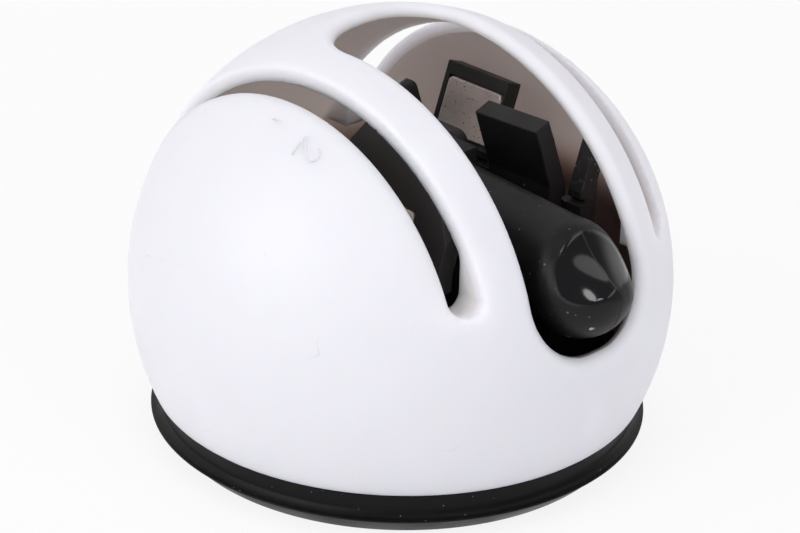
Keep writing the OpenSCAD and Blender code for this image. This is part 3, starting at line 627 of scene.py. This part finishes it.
# the lever: a round arm that runs into a knob with a saddle-shaped thumb dish, and a forked hub with a cam
lever = {"armRadius": 7.0, "armEnd": (0.0, -33.1, 13.0), "armLength": 29.1, "armTilt": 3.2,
         "knob": (0.0, -35.3, 11.2), "knobRadius": 7.3, "knobFillet": 3.0, "dishMiddle": (0.0, -49.6, 29.2),
         "dishRadius": 18.0, "dishBow": 7.4, "dishLean": 5.7, "dishEdge": 0.3, "softEdge": 1.7,
         "softX": -2.5, "softSpanX": 4.0, "softY": -37.5, "softSpanY": 3.0, "pinHeight": 13.5,
         "camReach": 9.1, "camDrop": 3.0, "lift": 80.0, "camStep": 5, "hubRadius": 8.4, "hubHeel": 2.6,
         "hubChin": 5.6, "hubHalf": 6.7, "hubEdge": 0.4, "backTurn": (30, 90), "backStep": 10,
         "backSteepest": 80, "crownLeast": 0.1, "crownFillet": 1.1, "crownHalf": 6.0, "crownFade": 3.0,
         "forkRadius": 9.88, "forkHalf": 3.3, "boreRadius": 2.05, "low": (-8.5, -43.6, 2.6),
         "high": (8.5, 9.5, 23.5), "cell": 0.36}
dishLean = math.radians(lever["dishLean"])
dishUp = np.array((0.0, -math.sin(dishLean), math.cos(dishLean)))
dishAlong = np.array((0.0, dishUp[2], -dishUp[1]))
dishBend = lever["dishRadius"] + lever["dishBow"]  # the tube that cuts the dish bends round this radius
dishCentre = np.array(lever["dishMiddle"]) - dishBend * dishUp


def hubOutline():
    v = lever
    rate = v["camDrop"] / math.radians(v["lift"])

    def camPoint(degrees):
        a = math.radians(degrees)
        r = v["camReach"] - rate * a
        return r * math.sin(a) - rate * math.cos(a), -r * math.cos(a) - rate * math.sin(a)

    # the cam runs on for one step past the full lift
    cam = [camPoint(a) for a in range(0, int(v["lift"]) + v["camStep"] + 1, v["camStep"])]
    back = []
    for a in range(v["backTurn"][0], v["backTurn"][1] + 1, v["backStep"]):
        r = min(v["hubRadius"], cam[-1][0] / math.cos(math.radians(min(a, v["backSteepest"]))))
        back.append((r * math.cos(math.radians(a)), r * math.sin(math.radians(a))))
    climb = (-v["armEnd"][1] - v["hubRadius"]) * math.tan(math.radians(v["armTilt"]))
    brow = v["armEnd"][2] + v["armRadius"] - v["pinHeight"] + climb
    front = [(-v["hubRadius"], brow), (-v["hubRadius"], -v["hubChin"]),
             (-rate - v["hubHeel"], -v["camReach"])]
    return cam + back + front


leverHub = hubOutline()


def dishField(p):
    away = p - dishCentre
    ring = np.hypot(away @ dishUp, p[:, 0]) - dishBend
    return np.hypot(ring, away @ dishAlong) - lever["dishRadius"]


def leverField(p):
    x, y, z = p.T
    v = lever
    tilt = math.radians(v["armTilt"])
    axis = np.array((0.0, math.cos(tilt), math.sin(tilt)))
    fromEnd = p - np.array(v["armEnd"])
    run = fromEnd @ axis
    arm = np.linalg.norm(fromEnd - np.maximum(run, 0)[:, None] * axis, axis=1) - v["armRadius"]
    arm = np.maximum(arm, run - v["armLength"])
    body = eitherField(arm, ballField(p, v["knob"], v["knobRadius"]), v["knobFillet"])
    hub = outlineField(y, z - v["pinHeight"], leverHub)
    hub = bothFields(hub, np.abs(x) - v["hubHalf"], v["hubEdge"])
    fade = np.clip((v["crownHalf"] - np.abs(x)) / v["crownFade"], 0, 1)
    crown = v["crownLeast"] + v["crownFillet"] * fade * (z > v["pinHeight"])
    body = eitherField(body, hub, crown)
    # the dish's rim is crisp only at the front left
    soft = np.maximum(np.clip((x - v["softX"]) / v["softSpanX"], 0, 1),
                      np.clip((y - v["softY"]) / v["softSpanY"], 0, 1))
    body = bothFields(body, -dishField(p), v["dishEdge"] + soft * v["softEdge"])
    turn = np.hypot(y, z - v["pinHeight"])
    fork = np.maximum(turn - v["forkRadius"], np.abs(x) - v["forkHalf"])
    body = bothFields(body, -fork, v["hubEdge"])
    return np.maximum(body, v["boreRadius"] - turn)


points, faces, normals = skinOf(leverField, lever["low"], lever["high"], lever["cell"])
leverPiece = meshFrom("leverArm", points, faces, normals, leverFinish)
attach(leverPiece, "lever", "lever_plastic", "lever")
print("lever made:", len(faces), "faces")


# geometry node trees: a ring swept round a four-cornered section, and a bead along a path
def newGeometryTree(name, inputs):
    tree = bpy.data.node_groups.new(name, "GeometryNodeTree")
    tree.interface.new_socket(name="Geometry", in_out="OUTPUT", socket_type="NodeSocketGeometry")
    for label, kind in inputs.items():
        tree.interface.new_socket(name=label, in_out="INPUT", socket_type="NodeSocket" + kind)
    return tree, tree.nodes.new("NodeGroupInput").outputs, tree.nodes.new("NodeGroupOutput").inputs


def endTree(tree, geometry, material, out):
    smooth = addNode(tree, "GeometryNodeSetShadeSmooth", {"Geometry": geometry})
    real = addNode(tree, "GeometryNodeRealizeInstances", {"Geometry": smooth.outputs[0]})
    painted = addNode(tree, "GeometryNodeSetMaterial", {"Geometry": real.outputs[0], "Material": material})
    tree.links.new(painted.outputs[0], out["Geometry"])


def sweep(tree, path, section, capped):
    values = {"Curve": path.outputs[0], "Profile Curve": section.outputs[0], "Fill Caps": capped}
    return addNode(tree, "GeometryNodeCurveToMesh", values).outputs[0]


def outwardMesh(mesh):
    shape = bmesh.new()
    shape.from_mesh(mesh)
    bmesh.ops.remove_doubles(shape, verts=shape.verts, dist=mergeGap)
    bmesh.ops.recalc_face_normals(shape, faces=shape.faces)
    shape.to_mesh(mesh)
    shape.free()


def evaluatedMesh(host):
    return bpy.data.meshes.new_from_object(host.evaluated_get(bpy.context.evaluated_depsgraph_get()))


def grown(name, tree, values, start=None):
    # runs a tree on its starting geometry and keeps the result as a plain mesh
    host = newPiece(name + "Host", start or bpy.data.meshes.new(name + "Start"))
    modifier = host.modifiers.new("grow", "NODES")
    modifier.node_group = tree
    for item in tree.interface.items_tree:
        if item.in_out == "INPUT" and item.name in values:
            modifier[item.identifier] = values[item.name]
    mesh = evaluatedMesh(host)
    host.modifiers.remove(modifier)
    bpy.data.objects.remove(host)
    outwardMesh(mesh)
    mesh.name = name
    return newPiece(name, mesh)


# fine marks: stage numbers and a tick by the knife slots, and the lever's parting line
marks = {"numberRadius": 0.12, "numberSunk": 0.05, "beadSides": 8, "lineSteps": 12, "up": (0.0, -1.0, 0.0),
         "left": {"middle": (-25.8, -7.5, 29.6), "right": (-0.754, 0.0, -0.656)},
         "right": {"middle": (25.8, -7.5, 29.6), "right": (-0.754, 0.0, 0.656)},
         "two": {"arc": (-0.05, 0.55, 1.12), "turn": (170, -15), "step": 5,
                 "foot": ((-1.75, -2.25), (1.35, -2.25))},
         "one": ((-0.8, 0.9), (0.2, 1.7), (0.2, -2.25)),
         "tick": ((-24.6, 1.26, 31.5), (-24.7, -0.56, 31.5)),
         "seam": {"radius": 0.1, "sunk": 0.05, "turn": (78, 222), "step": 2, "reach": (1.0, 16.0),
                  "halvings": 30}}


def makeBeadTree():
    tree, into, out = newGeometryTree("beadAlong", {"Path": "Geometry", "Bead radius": "Float",
                                                    "Finish": "Material"})
    path = addNode(tree, "GeometryNodeMeshToCurve", {"Mesh": into["Path"]})
    section = addNode(tree, "GeometryNodeCurvePrimitiveCircle",
                      {"Radius": into["Bead radius"], "Resolution": marks["beadSides"]})
    endTree(tree, sweep(tree, path, section, True), into["Finish"], out)
    return tree


beadTree = makeBeadTree()


def between(a, b):
    count = marks["lineSteps"]
    return [np.array(a) + (np.array(b) - np.array(a)) * i / count for i in range(count + 1)]


def polyline(corners):
    return [p for a, b in zip(corners, corners[1:]) for p in between(a, b)]


def onDome(line):
    sunk = dome["radius"] - marks["numberSunk"]
    return [np.array(p) * sunk / np.linalg.norm(p) for p in line]


def numberLine(side, line):
    middle, right, up = np.array(side["middle"]), np.array(side["right"]), np.array(marks["up"])
    return onDome([middle + u * right + v * up for u, v in line])


def twoLine():
    two = marks["two"]
    u, v, r = two["arc"]
    start, end = two["turn"]
    turn = [math.radians(a) for a in range(start, end - 1, -two["step"])]
    arc = [(u + r * math.cos(a), v + r * math.sin(a)) for a in turn]
    return arc + [tuple(p) for p in polyline([arc[-1]] + list(two["foot"]))][1:]


def seamLine():
    # walks out from the knob's middle to the surface, in the lever's own plane
    seam, knob = marks["seam"], np.array(lever["knob"])
    out = []
    for degrees in range(seam["turn"][0], seam["turn"][1] + 1, seam["step"]):
        way = np.array((0.0, math.cos(math.radians(degrees)), math.sin(math.radians(degrees))))
        near, far = seam["reach"]
        for _ in range(seam["halvings"]):
            half = (near + far) / 2
            within = leverField((knob + half * way)[None])[0] < 0
            near, far = (half, far) if within else (near, half)
        out.append(knob + (near - seam["sunk"]) * way)
    return out


def beads(name, lines, radius, finish):
    points, edges = [], []
    for line in lines:
        first = len(points)
        points += [tuple((p + liftToFrame) * mm) for p in line]
        edges += [(first + i, first + i + 1) for i in range(len(line) - 1)]
    path = bpy.data.meshes.new(name + "Path")
    path.from_pydata(points, edges, [])
    return grown(name, beadTree, {"Bead radius": radius * mm, "Finish": finish}, path)


numberLines = [numberLine(marks["left"], twoLine()), numberLine(marks["right"], polyline(marks["one"])),
               onDome(polyline(marks["tick"]))]
# the stage numbers' grey finish is painted shade for the shadow lines of the pressed numbers
attach(beads("stageNumbers", numberLines, marks["numberRadius"], numberShadeFinish), "housing", "white_plastic")
attach(beads("leverSeam", [seamLine()], marks["seam"]["radius"], leverFinish), "lever", "lever_plastic")
print("marks made")


# the rubber foot: a flange that slopes in to the worktop and a hollow collar that runs up the neck
foot = {"path": 33.0, "segments": 256, "edge": 0.15, "edgeSteps": 5,
        "flange": {"Foot inside": (30.24, 0.0), "Foot outside": (33.74, 0.0), "Lip": (36.94, 3.2),
                   "Neck": (31.9, 3.2)},
        "collar": {"inner": 35.0, "low": 3.0, "lip": 36.86, "top": 3.18, "hollow": 1.55, "steps": 12,
                   "turns": 256}}


def makeRingTree():
    corners = list(foot["flange"])
    inputs = {"Path radius": "Float", "Segments": "Int", "Edge radius": "Float", "Finish": "Material"}
    tree, into, out = newGeometryTree("sweptRing", {**inputs, **{c: "Vector" for c in corners}})
    path = addNode(tree, "GeometryNodeCurvePrimitiveCircle",
                   {"Radius": into["Path radius"], "Resolution": into["Segments"]})
    upright = addNode(tree, "GeometryNodeSetCurveNormal", {"Curve": path.outputs[0]}, mode="Z_UP")
    section = addNode(tree, "GeometryNodeCurvePrimitiveQuadrilateral",
                      {"Point " + str(i + 1): into[c] for i, c in enumerate(corners)}, mode="POINTS")
    soft = addNode(tree, "GeometryNodeFilletCurve",
                   {"Curve": section.outputs[0], "Radius": into["Edge radius"], "Count": foot["edgeSteps"],
                    "Limit Radius": True}, mode="POLY")
    endTree(tree, sweep(tree, upright, soft, False), into["Finish"], out)
    return tree


def footFlange():
    values = {"Path radius": foot["path"] * mm, "Segments": foot["segments"],
              "Edge radius": foot["edge"] * mm, "Finish": rubberFinish}
    for corner, (r, z) in foot["flange"].items():
        values[corner] = ((r - foot["path"]) * mm, -z * mm, 0.0)
    return grown("cupFlange", makeRingTree(), values)


def collarSection():
    # straight out along the bottom, up a quarter of a circle, and back along the top
    c = foot["collar"]
    turn = [math.pi * (1.5 - 0.5 * k / c["steps"]) for k in range(c["steps"] + 1)]
    hollow = [(c["lip"] + c["hollow"] * math.cos(a), c["top"] + c["hollow"] * (1.0 + math.sin(a)))
              for a in turn]
    bottom = [(c["inner"], c["low"]), (c["lip"], c["low"])]
    return bottom + hollow + [(c["inner"], hollow[-1][1]), bottom[0]]


# the cup's skin under the dome, attached to the housing; on the real cup it goes down with the stem
cupSkin = {"section": ((0.0, 3.2), (13.5, 3.2), (15.5, 2.9), (22.0, 1.2), (28.0, 0.25), (30.3, 0.1),
                       (30.3, 1.1), (28.0, 1.5), (22.0, 2.6), (15.5, 4.4), (13.5, 4.7), (0.0, 4.7)),
           "turns": 128, "keep": 0.3}


def turned(name, section, turns, finish):
    # a section of radius and height, turned round the upright axis; a radius of 0 is one point
    shape = bmesh.new()
    rows = []
    for r, z in section:
        count = turns if r else 1
        angles = [2 * math.pi * k / count for k in range(count)]
        rows.append([shape.verts.new((r * mm * math.cos(a), r * mm * math.sin(a), z * mm)) for a in angles])
    for a, b in zip(rows, rows[1:]):
        for k in range(turns):
            ring = [a[k % len(a)], a[(k + 1) % len(a)], b[(k + 1) % len(b)], b[k % len(b)]]
            shape.faces.new(list(dict.fromkeys(ring)))
    bmesh.ops.remove_doubles(shape, verts=shape.verts, dist=mergeGap)
    for face in shape.faces:
        face.smooth = True
    bmesh.ops.recalc_face_normals(shape, faces=shape.faces)
    mesh = bpy.data.meshes.new(name)
    shape.to_mesh(mesh)
    shape.free()
    mesh.materials.append(finish)
    return newPiece(name, mesh)


flangePiece = footFlange()
attach(flangePiece, "housing", "black_rubber", "suction_cup")
collarPiece = turned("cupCollar", collarSection(), foot["collar"]["turns"], rubberFinish)
attach(collarPiece, "housing", "black_rubber")
skinPiece = turned("cupSkin", cupSkin["section"], cupSkin["turns"], rubberFinish)
attach(skinPiece, "housing", "black_rubber", "suction_cup")
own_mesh(skinPiece)
print("rubber foot made")


# the pieces inside keep their CAD shape, with softened edges; angles in degrees, the gap in metres
softened = {"edge": 0.25, "insertEdge": 0.3, "steps": 3, "angle": 35.0, "flat": 1.0, "gap": 1e-6}
blackInside = ["right_block", "left_block", "right_front_holder", "right_rear_holder", "right_rear_post",
               "left_front_holder", "left_rear_holder", "left_rear_post", "lever_bracket"]
scuffedInside = ["right_front_post", "left_front_post"]
insertPlates = ["right_front_insert", "right_rear_insert", "left_front_insert", "left_rear_insert"]
steelInside = ["stem_bush", "wear_plate", "dome_screws", "block_screws", "bracket_screws", "stem",
               "stem_plate", "lever_pin", "pin_rings"]


def softenedCopy(nodeName, width, finish, slot):
    mesh = nodes[nodeName].data.copy()
    shape = bmesh.new()
    shape.from_mesh(mesh)
    bmesh.ops.remove_doubles(shape, verts=shape.verts, dist=softened["gap"])
    bmesh.ops.dissolve_limit(shape, angle_limit=math.radians(softened["flat"]), verts=shape.verts,
                             edges=shape.edges)
    shape.to_mesh(mesh)
    shape.free()
    host = newPiece(nodeName + "Host", mesh)
    bevel = host.modifiers.new("soften", "BEVEL")
    bevel.width = width * mm
    bevel.segments = softened["steps"]
    bevel.limit_method = "ANGLE"
    bevel.angle_limit = math.radians(softened["angle"])
    bevel.harden_normals = True
    done = evaluatedMesh(host)
    bpy.data.objects.remove(host)
    done.name = nodeName + "Soft"
    done.materials.clear()
    done.materials.append(finish)
    attach(newPiece(nodeName + "Soft", done), "housing", slot, nodeName)


def paint(nodeName, finish):
    slots = nodes[nodeName].data.materials
    slots.clear()
    slots.append(finish)


for name in blackInside:
    softenedCopy(name, softened["edge"], holderFinish, "black_plastic")
for name in scuffedInside:
    softenedCopy(name, softened["edge"], guideFinish, "black_plastic")
for name in insertPlates:
    softenedCopy(name, softened["insertEdge"], insertFinish, "insert_metal")
paint("base_plate", rubberFinish)
for name in steelInside:
    paint(name, steelFinish)
print("inside pieces softened and painted")


# plain studio: pale floor and a white surround, with a darker side that only reflections see
studio = {"floor": 3.0, "floorColour": (0.86, 0.86, 0.87, 1), "floorRough": 0.9, "speck": {"Scale": 60.0},
          "speckShade": 0.99, "glowShare": 0.85, "white": (1, 1, 1, 1), "worldColour": (0.95, 0.94, 0.99, 1),
          "worldStrength": 0.75, "darkSide": (0.17, -0.73, 0.66), "darkEdge": (0.45, 0.72),
          "darkShare": 0.85}

# one broad light, a soft fill that isn't mirrored, and two lamps that only reflections see
lamps = {"key": {"place": (-1.0, 0.14, 0.58), "size": (0.9, 0.9), "power": 5.5,
                 "colour": (1.0, 0.985, 0.97), "mirrored": True, "spread": True},
         "fill": {"place": (-0.15, -0.95, 0.70), "size": (0.8, 0.8), "power": 2.8,
                  "colour": (1.0, 0.975, 0.985), "mirrored": False, "spread": True},
         "panel": {"place": (0.61, -0.53, 0.91), "size": (0.80, 0.36), "power": 1.0,
                   "colour": (1.0, 1.0, 1.0), "mirrored": True, "spread": False},
         "top": {"place": (-0.05, -0.43, 1.14), "size": (0.26, 0.26), "power": 1.2,
                 "colour": (1.0, 1.0, 1.0), "mirrored": True, "spread": False}}


def seenDirectly(tree):
    path = tree.nodes.new("ShaderNodeLightPath").outputs
    bounced = calc(tree, "MAXIMUM", path["Is Glossy Ray"], path["Is Transmission Ray"])
    return calc(tree, "MAXIMUM", path["Is Camera Ray"], bounced)


def makeSurround():
    world = bpy.data.worlds.new("studioSurround")
    scene.world = world
    world.use_nodes = True
    tree = world.node_tree
    ambient = tree.nodes["Background"]
    ambient.inputs["Color"].default_value = studio["worldColour"]
    ambient.inputs["Strength"].default_value = studio["worldStrength"]
    way = tree.nodes.new("ShaderNodeTexCoord").outputs["Generated"]
    facing = vectorCalc(tree, "DOT_PRODUCT", way, studio["darkSide"])
    mirrored = tree.nodes.new("ShaderNodeLightPath").outputs["Is Glossy Ray"]
    dark = calc(tree, "MULTIPLY", ramp(tree, facing, *studio["darkEdge"]), mirrored)
    left = calc(tree, "SUBTRACT", 1.0, calc(tree, "MULTIPLY", dark, studio["darkShare"]))
    white = addNode(tree, "ShaderNodeBackground", {"Color": studio["white"], "Strength": left})
    mixed = addNode(tree, "ShaderNodeMixShader",
                    {0: seenDirectly(tree), 1: ambient.outputs[0], 2: white.outputs[0]})
    tree.links.new(mixed.outputs[0], tree.nodes["World Output"].inputs["Surface"])


def makeFloor():
    half = studio["floor"]
    mesh = bpy.data.meshes.new("studioFloor")
    corners = [(-half, -half, 0), (half, -half, 0), (half, half, 0), (-half, half, 0)]
    mesh.from_pydata(corners, [], [(0, 1, 2, 3)])
    finish, tree, shader, where = newFinish("paleFloor", Roughness=studio["floorRough"],
                                            Specular_IOR_Level=0.0)
    speck = place(tree, mouldGroup, where, studio["speck"])
    pale = studio["floorColour"]
    toned = blendColour(tree, speck["Tone"], pale, shade(pale, studio["speckShade"]))
    tree.links.new(toned, shader["Base Color"])
    glow = addNode(tree, "ShaderNodeEmission", {"Color": studio["white"], "Strength": 1.0})
    share = calc(tree, "MULTIPLY", seenDirectly(tree), studio["glowShare"])
    surface = tree.nodes["Principled BSDF"].outputs[0]
    lit = addNode(tree, "ShaderNodeMixShader", {0: share, 1: surface, 2: glow.outputs[0]})
    tree.links.new(lit.outputs[0], tree.nodes["Material Output"].inputs["Surface"])
    mesh.materials.append(finish)
    newPiece("studioFloor", mesh)


def makeLamp(name, lamp):
    data = bpy.data.lights.new(name + "Light", "AREA")
    data.shape = "ELLIPSE"
    data.size, data.size_y = lamp["size"]
    data.energy = lamp["power"]
    data.color = lamp["colour"]
    light = newPiece(name + "Light", data)
    light.location = lamp["place"]
    light.visible_glossy = lamp["mirrored"]
    light.visible_diffuse = lamp["spread"]
    aim = Vector((0, 0, domeMiddle * mm)) - light.location
    light.rotation_euler = aim.to_track_quat("-Z", "Y").to_euler()


makeSurround()
makeFloor()
for name, lamp in lamps.items():
    makeLamp(name, lamp)
scene.view_settings.view_transform = "Standard"
print("studio lit")
